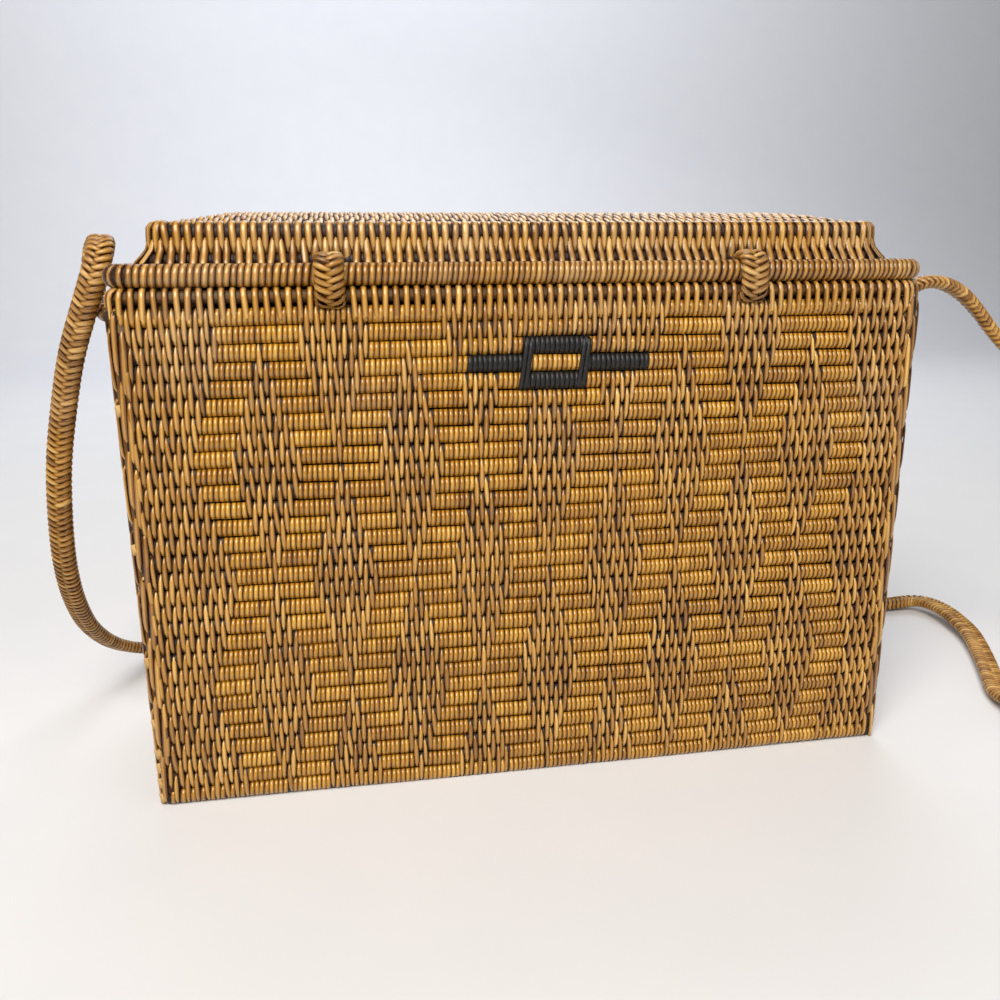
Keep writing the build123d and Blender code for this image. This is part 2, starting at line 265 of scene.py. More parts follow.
def split_vine(name, colours, greyed, roughness, coat):
    """Varnished split vine: colours run from a dark strip to a pale one."""
    material, tree, shader = new_material(name)
    tone, along, across = (stored(tree, key) for key in ("tone", "along", "across"))
    lengthwise = calculate(tree, "MULTIPLY", along, 1 / fibre_length)
    crosswise = calculate(tree, "MULTIPLY", across, 1 / fibre_width)
    own = calculate(tree, "MULTIPLY", tone, grain_shift)
    grain = add(tree, "CombineXYZ", {"X": lengthwise, "Y": crosswise, "Z": own}).outputs[0]
    fibres = add(tree, "TexNoise", {"Vector": grain, "Scale": 1.0, "Detail": 3.0}).outputs["Fac"]
    shift = calculate(tree, "MULTIPLY_ADD", fibres, 0.5, -0.25)
    off_crest = calculate(tree, "ABSOLUTE", across)
    # Painted highlight along each strip's crest and painted shade towards its edges, from the place across
    # the strip.
    painted_highlight_and_shade = ranged(tree, off_crest, crest_half, edge_half, crest_painted_highlight, -edge_painted_shade)
    uneven = calculate(tree, "ADD", painted_highlight_and_shade, shift)
    level = calculate(tree, "ADD", tone, uneven)
    ramp = add(tree, "ValToRGB", {"Fac": level})
    stops = ramp.color_ramp.elements
    while len(stops) < len(colours):
        stops.new(0.5)
    for number, colour in enumerate(colours):
        stops[number].position = number / (len(colours) - 1)
        stops[number].color = linear(colour)
    place = add(tree, "TexCoord").outputs["Object"]
    height = add(tree, "SeparateXYZ", {"Vector": place}).outputs["Z"]
    upper = ranged(tree, height, orange_below, greyed_above, -0.3, 0.0)
    patch = calculate(tree, "ADD", speckle(tree, drift_size, 2.0), upper)
    grey = ranged(tree, patch, 0.38, 0.66, 0.0, greyed)
    paint = ramp.outputs[0]
    dull = add(tree, "HueSaturation", {"Color": paint, "Saturation": 0.72, "Value": 0.97}).outputs[0]
    surface = {
        "Base Color": blend(tree, grey, paint, dull),
        "Roughness": ranged(tree, fibres, 0.0, 1.0, roughness - 0.08, roughness + 0.14),
        "Normal": relief(tree, fibres, 0.35, 0.12),
        "IOR": 1.5,
        "Specular Tint": linear("#fff0cc"),
        "Coat Weight": coat,
        "Coat Roughness": 0.28,
        "Coat Tint": linear("#fff4de"),
    }
    feed(tree, shader, surface)
    return material


body_vine = split_vine(
    "varnished_split_vine", ("#421c02", "#744809", "#9d7019", "#bf9233", "#dfb862"), 0.3, 0.34, 1.0
)
stitch_vine = split_vine(
    "stitched_split_vine", ("#421f04", "#714813", "#996f2b", "#ba9047", "#d9b572"), 0.6, 0.36, 1.0
)
lid_vine = split_vine(
    "handled_split_vine", ("#452304", "#764c12", "#a17429", "#c09648", "#ddba74"), 0.6, 0.38, 0.9
)
plaited_vine = split_vine(
    "plaited_vine", ("#5c360a", "#80541a", "#a0722f", "#bb9049", "#d3ae6a"), 0.5, 0.42, 0.4
)
print("materials", body_vine.name, stitch_vine.name, lid_vine.name, plaited_vine.name)

# %% [markdown]
# ## Black dyed vine
# The ornament is the same vine, dyed black before it was wrapped. The dye leaves a near black with a
# faint grey bloom and the same soft gloss.

# %% Black vine material
def dyed_vine(name, colour, bloom):
    """Vine dyed through, with a dusty bloom in small specks."""
    material, tree, shader = new_material(name)
    specks = speckle(tree, 0.9, 4.0)
    dust = ranged(tree, specks, 0.5, 0.75)
    surface = {
        "Base Color": blend(tree, dust, linear(colour), linear(bloom)),
        "Normal": relief(tree, specks, 0.4, 0.1),
        "Roughness": 0.5,
        "IOR": 1.5,
    }
    feed(tree, shader, surface)
    return material


black_vine = dyed_vine("black_dyed_vine", "#0a0908", "#262422")
print("material", black_vine.name)

# %% [markdown]
# ## Rods in the shade
# Under the strips lie rods, about as thick as a knitting needle. Outside they show only through the
# small gaps, and there their outer side is painted nearly black: painted shade for the dark gaps.
# Inside the bag they are the surface, wrapped in the same strips. The mesh keeps a tone that is 0 on
# the outside of a rod and 1 on its inside, and the wraps on the inside are bands at the strips' real
# spacing. The rim rod and the corner posts are bare rods, dull and dark brown, and the cut ends of
# rods show pale dry wood.

# %% Rod material
def rod_material(name, gap_shade_colour, inside_colours):
    """Foundation rods: painted dark as shade where they face out, wrapped where they face in."""
    material, tree, shader = new_material(name)
    turns = calculate(tree, "MULTIPLY", stored(tree, "along"), 1 / slot_width)
    band = calculate(tree, "PINGPONG", turns, 0.5)
    number = calculate(tree, "FLOOR", turns)
    own = add(tree, "TexWhiteNoise", {"W": number}, noise_dimensions="1D").outputs["Value"]
    wraps = blend(tree, own, *(linear(colour) for colour in inside_colours))
    groove = ranged(tree, band, 0.0, 0.14, 0.25, 1.0)
    shaded = blend(tree, 1.0, wraps, groove, blend_type="MULTIPLY")
    # Where a rod faces out it takes the gap colour, which is painted shade for the dark gaps.
    inward = ranged(tree, stored(tree, "tone"), 0.55, 0.75)
    surface = {
        "Base Color": blend(tree, inward, linear(gap_shade_colour), shaded),
        "Normal": relief(tree, groove, 0.6, 0.3),
        "Roughness": 0.6,
    }
    feed(tree, shader, surface)
    return material


# The first colour of each rod material is painted shade for the gaps, not the rods' own colour.
rods_in_shade = rod_material("rods_in_shade", "#1f0a01", ("#74450f", "#a87028"))
lid_rods = rod_material("lid_rods_in_shade", "#2a1203", ("#70481a", "#a07232"))
bare_rod = split_vine("bare_rod", ("#452a10", "#5b3a18", "#704b24", "#875f33"), 0.8, 0.55, 0.0)
cut_wood = split_vine("cut_rod_wood", ("#b08a55", "#c7a26b", "#d8b983"), 0.3, 0.75, 0.0)
print("materials", rods_in_shade.name, lid_rods.name, bare_rod.name, cut_wood.name)

# %% [markdown]
# ## Where the long stitches lie
# The wall could be drawn as one repeated tile, but the real weave has a rule: at each boundary between
# two rows a lozenge has one stitch more or less than at the next one, so the stitches sit like bricks.
# A table of true and false holds that rule, one line for a boundary and one column for a slot. A slot
# that no long stitch covers gets a short wrap round its single rod.

# %% Pattern of the weave
slots = np.arange(-80, 78)
lozenge_stitches = 7
lozenge_step = 28
border_slot = 70
link_reach = 33.0
link_middle = 3.5
link_half = 10.0


def slot_x(slot):
    """The place of a slot along the long wall."""
    return pattern_centre + slot * slot_width


def lozenges():
    """Each lozenge as its middle slot and the boundary that it is widest at."""
    for column in range(-2, 3):
        for boundary in (8, 22):
            yield lozenge_step * column, boundary
    for column in range(-3, 3):
        for boundary in (1, 15, 29):
            yield lozenge_step * column + lozenge_step // 2, boundary


def patterned(with_link):
    """True where a long stitch crosses the boundary below a row, for each boundary and slot."""
    boundary = np.arange(rod_rows - 1)[:, None]
    brick = (slots + boundary) % 2 == 1
    stitched = brick & (np.abs(slots) > border_slot)
    for middle, widest in lozenges():
        reach = lozenge_stitches - 1 - np.abs(boundary - widest)
        stitched |= (np.abs(slots - middle) <= reach) & ((slots - middle - reach) % 2 == 0)
    if with_link:
        away = np.abs(slot_x(slots) - link_middle)
        stitched[:2] = np.where(away < link_reach, brick[:2], stitched[:2])
        stitched[2:4] &= away > link_reach - 4
        stitched[1] &= away > link_half + 0.5
        stitched[4] &= away > link_half + 0.5
    return stitched


print("lozenges", len(list(lozenges())), "long stitches on the front", int(patterned(True).sum()))

# %% [markdown]
# ## A woven wall
# The same three things make every wall: rods, long stitches over two rods, and short wraps over one.
# A long stitch lies flat over both rods and dives in at its ends, which leaves the dark diamonds between
# neighbours. A short wrap is an arc round its rod. Each strip is moved, turned and widened a little, with
# a seeded random number, because the weave is made by hand. Rows wander slightly too.

# %% Woven wall
rod_height = 2.6
rod_radius = 1.85
rod_depth = 2.3
rod_overlap = 1.5
wrap_height = 2.32
wrap_radius = 1.97
wrap_half_wide = 0.72
long_half_wide = 0.78
long_height_shares = np.array([0.98, 0.84, 0.55, 0.0, -0.55, -0.84, -0.98])
long_width_shares = np.array([0.28, 0.6, 0.94, 1.0, 0.94, 0.6, 0.28])
long_depths = np.array([-2.1, -1.15, -0.42, -0.3, -0.42, -1.15, -2.1])
wrap_turns = np.radians([108, 62, 21, -21, -62, -108])


def wall_frame(origin, right, up, out):
    """A wall's own axes, so that one weave serves every side."""
    return tuple(np.array(vector, float) for vector in (origin, right, up, out))


def on_wall(frame_of_wall, u, v, w):
    """Points from their place along, up and out of a wall."""
    origin, right, up, out = frame_of_wall
    return origin + u[..., None] * right + v[..., None] * up + w[..., None] * out


def wander(number, u):
    """How far a row strays up or down along its length."""
    return 0.3 * np.sin(u / 37 + 0.35 * number + 1) + 0.14 * np.sin(u / 13 + 0.9 * number)


def strip_tones(number, u, spread=0.1):
    """Tones of strips: each row has stretches of paler and darker vine."""
    stretch = 0.06 * np.sin(u / 9 + 2.3 * number) + 0.06 * np.sin(u / 23 + 5.1 * number)
    return np.clip(0.5 + stretch + rng.normal(0, spread, len(u)), 0.02, 0.98)


def flat(u, v):
    """No swell: a flat wall."""
    return np.zeros(np.broadcast(u, v).shape)


def weave_rods(side, rows_v, reach, swell=flat):
    """The rods of a wall, from end to end."""
    u = np.broadcast_to(np.linspace(-reach, reach, 25), (len(rows_v), 25))
    v = rows_v[:, None] + wander(np.arange(len(rows_v))[:, None], u)
    line = on_wall(side, u, v, swell(u, v) - rod_depth)
    section = round_section(10)
    # The tone is 0 on a rod's outer side, which the rod material paints dark as painted shade.
    return strips(line, side[3], rod_height, rod_radius, section, 0.5 - 0.5 * section[:, 1])


def weave_long(side, number, u, v, swell=flat):
    """Long stitches over two rods; number is the row that each starts from."""
    count = len(u)
    height = row * long_height_shares * rng.normal(1, 0.02, (count, 1))
    lean = rng.normal(0, 0.035, (count, 1))
    across = (u + rng.normal(0, 0.1, count))[:, None] + lean * height
    middle = (v + wander(number + 0.5, u))[:, None] + height
    depth = long_depths + rng.normal(0, 0.05, (count, 1))
    line = on_wall(side, across, middle, depth + swell(across, middle))
    wide = long_half_wide * long_width_shares * rng.normal(1, 0.07, (count, 1))
    tone = strip_tones(number, u)[:, None, None]
    return strips(line, side[3], wide, stitch_half_thick, stitch_section, tone)


def weave_wraps(side, number, u, v, swell=flat, fat=1.0):
    """Short wraps round one rod; fat ones stand proud."""
    count = len(u)
    turn = wrap_turns + np.zeros((count, 1))
    lean = rng.normal(0.06, 0.03, (count, 1))
    rise = fat * wrap_height * np.sin(turn)
    across = (u + rng.normal(0, 0.05, count))[:, None] + lean * rise
    middle = (v + wander(number, u))[:, None] + rise
    depth = fat * wrap_radius * np.cos(turn) - rod_depth + rng.normal(0, 0.03, (count, 1))
    line = on_wall(side, across, middle, depth + swell(across, middle))
    out = np.sin(turn)[..., None] * side[2] + np.cos(turn)[..., None] * side[3]
    wide = wrap_half_wide * rng.normal(1, 0.04, (count, 1))
    tones = strip_tones(number, u, 0.06)[:, None, None]
    return strips(line, out, wide, wrap_half_thick, wrap_section, tones, crisp=wrap_crisp)


def stitch_wall(side, rows_v, places, stitched, swell=flat):
    """The long stitches of a wall, from its table of stitches."""
    number, slot = np.nonzero(stitched)
    between = (rows_v[number] + rows_v[number + 1]) / 2
    return weave_long(side, number, places[slot], between, swell)


def wrap_wall(side, rows_v, places, covered, swell=flat):
    """Short wraps in all the slots that nothing covers."""
    number, slot = np.nonzero(~covered)
    return weave_wraps(side, number, places[slot], rows_v[number], swell)


def covered_slots(stitched):
    """True for each row and slot that a long stitch lies over."""
    none = np.zeros((1, stitched.shape[1]), bool)
    return np.concatenate([stitched, none]) | np.concatenate([none, stitched])


def weave_wall(side, rows_v, places, stitched, swell=flat):
    """Long stitches and short wraps of a whole wall."""
    long_ones = stitch_wall(side, rows_v, places, stitched, swell)
    covered = covered_slots(stitched)
    if covered.all():
        return [long_ones]
    return [long_ones, wrap_wall(side, rows_v, places, covered, swell)]


def make_rods(name, side, rows_v, reach):
    """The rods of one of the basket's walls, which stand for its panel."""
    rods = [weave_rods(side, rows_v, reach + rod_overlap)]
    make_piece(name + "_rods", rods, rods_in_shade, [name + "_panel"])


# %% [markdown]
# ## Front and back
# The front has the lozenges and, near the top, the link. The back isn't in view, so it gets the same
# lozenges with nothing added. The slots that the black ornament covers are left out of the front's own
# wraps and woven again in black. The link leans a little, as the hand left it.

# %% Front and back walls
front = wall_frame((0, -half_depth, 0), (1, 0, 0), (0, 0, 1), (0, -1, 0))
back = wall_frame((0, half_depth, 0), (-1, 0, 0), (0, 0, 1), (0, 1, 0))
rows_v = panel_height - (np.arange(rod_rows) + 0.5) * row
places = slot_x(slots)
link_row = 3
link_low, link_high = span("black_link")
bar_left, bar_right = span("black_bar_left"), span("black_bar_right")
link_side = 2.8
link_skew = 0.7
link_tuck = 1.0
bar_start_gap = 2.0
black_fat = 1.1


def weave_front():
    """The front's strips, and apart from them the black wraps of the ornament."""
    stitched = patterned(True)
    natural = [stitch_wall(front, rows_v, places, stitched)]
    covered = covered_slots(stitched)
    in_link = (places > link_low[0]) & (places < link_high[0])
    in_left = (places > bar_left[0][0] + bar_start_gap) & (places < link_low[0] + link_tuck)
    in_right = (places > link_high[0] - link_tuck) & (places < bar_right[1][0])
    black = {"black_link": [], "black_bar_left": [], "black_bar_right": []}
    jobs = (
        ("black_link", link_row - 1, in_link, link_skew),
        ("black_link", link_row + 1, in_link, -link_skew),
        ("black_bar_left", link_row, in_left, 0.0),
        ("black_bar_right", link_row, in_right, 0.0),
    )
    for name, dark_row, where, shift in jobs:
        covered[dark_row] |= where
        u = places[where] + shift
        rod = np.full(len(u), dark_row)
        black[name].append(weave_wraps(front, rod, u, rows_v[rod], fat=black_fat))
    natural.append(wrap_wall(front, rows_v, places, covered))
    return natural, black


def link_sides():
    """The two upright sides of the link, each of two strips side by side."""
    height = row * np.array([1.45, 1.3, 1.0, 0.0, -1.0, -1.3, -1.45])
    depth = np.array([-1.4, -0.5, 0.1, 0.05, 0.1, -0.5, -1.4])
    middles = []
    for edge, inward in ((link_low[0], 1), (link_high[0], -1)):
        middles += [edge + inward * link_side * share for share in (0.25, 0.75)]
    u = np.array(middles)[:, None] + link_skew / row * height
    v = rows_v[link_row] + height + 0 * u
    line = on_wall(front, u, v, depth + 0 * u)
    return strips(line, front[3], link_side / 4 + 0.05, 0.45, stitch_section)


front_strips, black_strips = weave_front()
make_piece("front_stitches", front_strips[:1], stitch_vine)
make_piece("front_wraps", front_strips[1:], body_vine)
make_rods("front", front, rows_v, inner_half_width)
black_strips["black_link"].append(link_sides())
for name, batches in black_strips.items():
    make_piece(name + "_wraps", batches, black_vine, [name])

back_strips = weave_wall(back, rows_v, -places, patterned(False))
make_piece("back_stitches", back_strips[:1], stitch_vine)
make_piece("back_wraps", back_strips[1:], body_vine)
make_rods("back", back, rows_v, inner_half_width)

# %% [markdown]
# ## Ends and base
# The ends and the base are hidden too. Such bags have them in the plain brick stitch, so every slot has a
# long stitch but a few at the edges. The strap comes out of each end just under the rim, and there the
# stitches leave room.

# %% Ends and base
strap_room = 6.0
end_slots = np.arange(-24, 25)


def brick_table(row_count, slot_numbers):
    """A table with a long stitch in every second slot, like bricks."""
    return (slot_numbers + np.arange(row_count - 1)[:, None]) % 2 == 1


for name, turn in (("left", -1), ("right", 1)):
    side = wall_frame((turn * half_width, 0, 0), (0, turn, 0), (0, 0, 1), (turn, 0, 0))
    table = brick_table(rod_rows, end_slots)
    table[:2] &= np.abs(end_slots * slot_width) > strap_room
    stitches = weave_wall(side, rows_v, end_slots * slot_width, table)
    make_piece(name + "_end_stitches", stitches, stitch_vine)
    make_rods(name + "_end", side, rows_v, inner_half_depth)

base = wall_frame((0, 0, 0), (1, 0, 0), (0, -1, 0), (0, 0, -1))
base_rows = 15
base_v = 2 * inner_half_depth * ((np.arange(base_rows) + 0.5) / base_rows - 0.5)
base_slots = np.arange(-78, 79)
base_strips = weave_wall(base, base_v[::-1], base_slots * slot_width, brick_table(base_rows, base_slots))
make_piece("base_stitches", base_strips, stitch_vine)
make_rods("base", base, base_v[::-1], inner_half_width)

# %% [markdown]
# ## Rings of rod
# The rim of the basket, the roll round the lid and the rods of the raised lid all follow a rectangle with
# round corners. One function gives that line with its outward direction, evenly spaced, so that strips
# can be set along it at their own pitch.

# %% Rounded ring
def ring_line(half_x, half_y, corner, count):
    """Points round a rectangle with round corners, and their outward directions."""
    x, y = half_x - corner, half_y - corner
    quarter = corner * pi / 2
    runs = np.cumsum([0, 2 * x, quarter, 2 * y, quarter, 2 * x, quarter, 2 * y, quarter])
    gone = np.arange(count) * runs[-1] / count
    points, outs = np.zeros((count, 3)), np.zeros((count, 3))
    starts = ((-x, -y, -90), (x, -y, 0), (x, y, 90), (-x, y, 180))
    for k, (cx, cy, turn) in enumerate(starts):
        out = np.array([np.cos(radians(turn)), np.sin(radians(turn)), 0])
        way = np.array([-out[1], out[0], 0])
        on_run = (gone >= runs[2 * k]) & (gone < runs[2 * k + 1])
        step = (gone - runs[2 * k])[on_run][:, None]
        points[on_run] = np.array([cx, cy, 0]) + corner * out + step * way
        outs[on_run] = out
        on_bend = (gone >= runs[2 * k + 1]) & (gone < runs[2 * k + 2])
        ex, ey = starts[(k + 1) % 4][:2]
        angle = radians(turn) + (gone - runs[2 * k + 1])[on_bend] / max(corner, 1e-6)
        round_out = np.stack([np.cos(angle), np.sin(angle), 0 * angle], axis=1)
        points[on_bend] = np.array([ex, ey, 0]) + corner * round_out
        outs[on_bend] = round_out
    return points, outs


def ring_length(half_x, half_y, corner):
    """The length of such a ring."""
    return 4 * (half_x + half_y - 2 * corner) + 2 * pi * corner


up = np.array([0.0, 0.0, 1.0])
loop_spans = [span("hinge_loop_left"), span("hinge_loop_right")]
loop_margin = 4.0
loop_fade = 3.0
ring_steps = 240
rod_section = round_section(12)
# 0 on a rod's outer side, which the rod material paints dark as painted shade.
facing = 0.5 - 0.5 * rod_section[:, 1]


def near_loop(points):
    """1 on the front behind a hinge loop, falling to 0 beside it."""
    near = np.zeros(len(points))
    for low, high in loop_spans:
        away = np.abs(points[:, 0] - (low[0] + high[0]) / 2)
        inside = (high[0] - low[0]) / 2 + loop_margin - away
        near = np.maximum(near, np.clip(inside / loop_fade, 0, 1))
    return near * (points[:, 1] < 0)


def ring_rod(inset, corner, radius, z, tone, middle=0.0, dent=0.0):
    """A rod bent to a ring, inset from the bag's outline; a dent leaves room for the hinge loops."""
    points, outs = ring_line(half_width - inset, half_depth - inset, corner, ring_steps)
    points[:, 1] += dent * near_loop(points)
    line = (points + z * up + middle)[None]
    return strips(line, outs[None], radius, radius, rod_section, tone, closed=True)


print("ring of the outline", round(ring_length(half_width, half_depth, 0.0)), "mm")

# %% [markdown]
# ## The basket's rim
# A bare rod lies along the top edge, and spaced long stitches lash it to the first row. Between them the
# rod shows. At a hinge loop the lashings leave a gap. The stitches start behind the rod, come over it and
# tuck in under the first row.

# %% Rim rod and lashings
rim_low, rim_high = span("body_rim_rod")
rim_z = (rim_low[2] + rim_high[2]) / 2
rim_radius = 2.2
rim_inset = half_width - rim_high[0] + rim_radius
rim_corner = 3.4
rim_sink = 0.3
lashing_turns = np.radians([150, 115, 75, 35, 0])
lashing_lift = 0.25
lashing_tail = 2.1
lashing_half_wide = 0.95


def rim_places():
    """Where lashings go: every second slot of each side, and round the corners."""
    flat_x, flat_y = half_width - rim_inset - rim_corner, half_depth - rim_inset - rim_corner
    along = slot_x(slots[slots % 2 == 0])
    along = along[np.abs(along) < flat_x]
    free = np.ones(len(along), bool)
    for low, high in loop_spans:
        free &= (along < low[0] - 1) | (along > high[0] + 1)
    across = slot_width * end_slots[end_slots % 2 == 0]
    across = across[np.abs(across) < flat_y]
    places = [((x, -flat_y), (0, -1)) for x in along[free]] + [((-x, flat_y), (0, 1)) for x in along]
    for side in (-1, 1):
        places += [((side * flat_x, y), (side, 0)) for y in across]
        for far in (-1, 1):
            for turn in np.radians((15, 45, 75)):
                places.append(((side * flat_x, far * flat_y), (side * np.cos(turn), far * np.sin(turn))))
    middles = np.array([(*middle, 0.0) for middle, _ in places])
    outs = np.array([(*out, 0.0) for _, out in places])
    return middles + rim_corner * outs, outs


def lashings(z, radius, drop):
    """Stitches over the rim rod and down to the row below it."""
    points, outs = rim_places()
    count = len(points)
    over = radius + lashing_lift
    out_way = np.concatenate([over * np.cos(lashing_turns), over + np.array([0.02, -0.05, -0.6, -1.7])])
    up_way = np.concatenate([over * np.sin(lashing_turns), -drop * np.array([0.4, 0.75, 0.93, 1.0])])
    stretch = rng.normal(1, 0.02, (count, 1))
    sway = rng.normal(0, 0.04, (count, 1)) * up_way
    way = np.cross(up, outs)
    line = points[:, None] + out_way[None, :, None] * outs[:, None]
    line = line + (z + up_way * stretch)[..., None] * up + sway[..., None] * way[:, None]
    face_out = np.concatenate([np.cos(lashing_turns), np.ones(4)])
    face_up = np.concatenate([np.sin(lashing_turns), np.zeros(4)])
    out = face_out[None, :, None] * outs[:, None] + face_up[None, :, None] * up
    taper = np.array([0.9, 1, 1, 1, 1, 1, 0.96, 0.72, 0.4])
    wide = lashing_half_wide * taper * rng.normal(1, 0.06, (count, 1))
    tone = random_tones(count, 0.52, 0.09)
    return strips(line, out, wide, stitch_half_thick, stitch_section, tone)


rim_tone = np.clip(rng.normal(0.5, 0.2), 0, 1)
rim_rod = [ring_rod(rim_inset, rim_corner, rim_radius - rim_sink, rim_z, rim_tone)]
make_piece("rim_rod", rim_rod, bare_rod, ["body_rim_rod"])
rim_strips = [lashings(rim_z, rim_radius, row + lashing_tail)]
make_piece("rim_lashings", rim_strips, lid_vine)

# %% [markdown]
# ## Laced corners
# Where two walls meet, long strips run up the edge in four staggered columns and pull the walls together.
# They lie on a post, lean a little and dive in at their ends. At the front's left corner, mostly near the
# foot, cut ends of rods show between them.

# %% Corner lacing
lace_length = 19.0
lace_step = 9.375
lace_radius = 4.0
lace_half_wide = 0.98
post_radius = 3.6
post_tone = 0.45
cut_rows = (5, 13, 20, 24, 26, 27, 28, 29)
cut_radius = 1.7


def corner_lacing(side_x, side_y):
    """The post and the lacing strips of one corner."""
    axis = np.array([side_x * inner_half_width, side_y * inner_half_depth, 0])
    outward = np.arctan2(side_y, side_x)
    post_z = np.linspace(1.0, panel_height - 1, 12)
    post_line = (axis + post_z[:, None] * up)[None]
    corner_way = np.array([side_x, side_y, 0.0])
    post = strips(post_line, corner_way, post_radius, post_radius, round_section(14), post_tone)
    starts = np.arange(-0.5, panel_height / lace_step)
    batches = [post]
    for column, offset in ((-1, 0.0), (1, 0.5), (-2.15, 0.35), (2.15, 0.85)):
        begin = (starts + offset)[starts * lace_step < panel_height] * lace_step
        begin = begin[::2] if abs(column) < 2 else begin[1::2]
        shares = np.linspace(0, 1, 9)
        z = np.clip(begin[:, None] + lace_length * shares, 0.6, panel_height - 0.4)
        keep = z[:, -1] - z[:, 0] > 6
        z = z[keep]
        count = len(z)
        lean = radians(11) * (shares - 0.5) * np.sign(column) + rng.normal(0, 0.05, (count, 1))
        angle = outward + radians(20) * column + lean
        dip = 1 - np.abs(2 * shares - 1) ** 6
        reach = lace_radius - 1.2 * (1 - dip)
        out = np.stack([np.cos(angle), np.sin(angle), 0 * angle], axis=-1)
        line = axis + reach[None, :, None] * out + z[..., None] * up
        wide = lace_half_wide * (0.45 + 0.55 * dip) * rng.normal(1, 0.06, (count, 1))
        tone = random_tones(count, 0.5, 0.17)
        batches.append(strips(line, out, wide, stitch_half_thick, stitch_section, tone))
    return batches


for name, side_x, side_y in (
    ("front_left", -1, -1),
    ("front_right", 1, -1),
    ("back_left", -1, 1),
    ("back_right", 1, 1),
):
    laces = corner_lacing(side_x, side_y)
    make_piece("corner_post_" + name, laces[:1], bare_rod, ["corner_lacing_" + name])
    make_piece("corner_laces_" + name, laces[1:], stitch_vine)


def cut_ends():
    """Short stubs of the front's rods that show between the laces."""
    batches = []
    for number in cut_rows:
        z = rows_v[number]
        start = np.array([-inner_half_width - 2.0, -half_depth + 2.6, z])
        end = np.array([-half_width + 0.75, -half_depth + 1.9, z - 0.3])
        line = np.linspace(start, end, 4)[None]
        sizes = cut_radius * np.array([[1, 1, 1, 0.86]])
        batches.append(strips(line, up, sizes, sizes, rod_section, rng.uniform(0.3, 0.9)))
    return batches


make_piece("cut_rod_ends", cut_ends(), cut_wood)

# %% [markdown]
# ## The lid
# The lid stands on a thick roll wrapped turn by turn. Above it a short row of stitches leans in, then
# long stitches climb the raised side and bend over its top edge. The top is a mat of rows that swells in
# the middle. The roll's wraps lie closer in some stretches than in others, as a hand leaves them.

# %% Lid roll
roll_low, roll_high = span("lid_rim_roll")
roll_radius = 3.25
roll_z = (roll_high[2] + roll_low[2]) / 2
roll_outer_corner = 7.0
roll_corner = roll_outer_corner - roll_radius
roll_pitch = 1.75
roll_half_thick = 0.36
roll_wrap_sink = 0.33
roll_core_sink = 0.45
lid_middle = np.array([(roll_high[0] + roll_low[0]) / 2, 0, 0])


def roll_wraps():
    """Turns of strip round the roll, at a pitch that varies along it."""
    half_x, half_y = half_width - roll_radius, half_depth - roll_radius
    length = ring_length(half_x, half_y, roll_corner)
    fine = 4000
    points, outs = ring_line(half_x, half_y, roll_corner, fine)
    points = points + lid_middle
    gone = np.arange(fine) * length / fine
    pitch = roll_pitch + 0.25 * np.sin(gone / 21) + 0.15 * np.sin(gone / 8 + 1)
    turns = np.cumsum(1 / pitch) * length / fine
    count = round(turns[-1])
    at = np.searchsorted(turns * count / turns[-1], np.arange(count) + 0.5)
    angle = np.radians(np.linspace(-155, 155, 12)) + np.zeros((count, 1))
    way = np.cross(up, outs[at])
    lean = (1.1 + rng.normal(0, 0.2, (count, 1))) * angle / pi
    radius = roll_radius - roll_wrap_sink + rng.normal(0, 0.05, (count, 1))
    radial = np.cos(angle)[..., None] * outs[at][:, None] + np.sin(angle)[..., None] * up
    line = points[at][:, None] + radius[..., None] * radial + lean[..., None] * way[:, None] + roll_z * up
    wide = (0.5 * pitch[at])[:, None] * rng.normal(1, 0.05, (count, 1))
    tone = np.clip(0.42 + 0.07 * np.sin(gone[at] / 17) + rng.normal(0, 0.08, count), 0, 1)
    return strips(line, radial, wide, roll_half_thick, wrap_section, tone[:, None, None], crisp=wrap_crisp)


roll_core = [ring_rod(roll_radius, roll_corner, roll_radius - roll_core_sink, roll_z, facing, lid_middle)]
make_piece("lid_roll_core", roll_core, lid_rods, ["lid_rim_roll"], "lid")
make_piece("lid_roll_wraps", [roll_wraps()], lid_vine, body="lid")

# %% [markdown]
# ## The lid's raised side
# Two rows of stitches stand on rods that run round the lid. The upper ones bend over the top edge, and the
# lower ones flare out to the roll and sit between them. Behind each hinge loop the lower rods and stitches
# are pulled in, because the loop comes to lie there when the lid is open. Each rod is listed with its inset
# and its height from the raised side's top edge, its radius and how far it is pulled in.

# %% Raised side of the lid
crown_inset = 10.5
crown_corner = 6.0
crown_top = span("lid_skirt")[1][2]
top_margin = 3.3
side_rods = (
    (2.6, -2.4, 2.1, 0.0),
    (2.3, -6.4, 2.2, 0.0),
    (0.2, -10.1, 2.1, 1.0),
    (-1.5, -12.9, 1.9, 2.8),
)
loop_clear_inset = 10.1


def crown_strips(drop_line, count, shift, wide, tone_middle):
    """Stitches along the raised side; drop_line lists inset and height from the top down."""
    inset, z = drop_line.T
    base_points, outs = ring_line(half_width - crown_inset, half_depth - crown_inset, crown_corner, 2 * count)
    base_points, outs = base_points[shift::2] + lid_middle, outs[shift::2]
    way = np.cross(up, outs)
    sway = rng.normal(0, 0.05, (count, 1)) * (z - z.mean()) + rng.normal(0, 0.1, (count, 1))
    pulled = inset + near_loop(base_points)[:, None] * (np.maximum(inset, loop_clear_inset) - inset)
    line = base_points[:, None] + (crown_inset - pulled)[..., None] * outs[:, None]
    line = line + z[None, :, None] * up + sway[..., None] * way[:, None]
    step = np.gradient(drop_line, axis=0)
    normal = np.stack([-step[:, 1], -step[:, 0]], axis=1)
    out = normal[None, :, 0, None] * outs[:, None] + normal[None, :, 1, None] * up
    widths = wide[None] * rng.normal(1, 0.06, (count, 1))
    tone = random_tones(count, tone_middle, 0.1)
    return strips(line, out, widths, stitch_half_thick, stitch_section, tone)


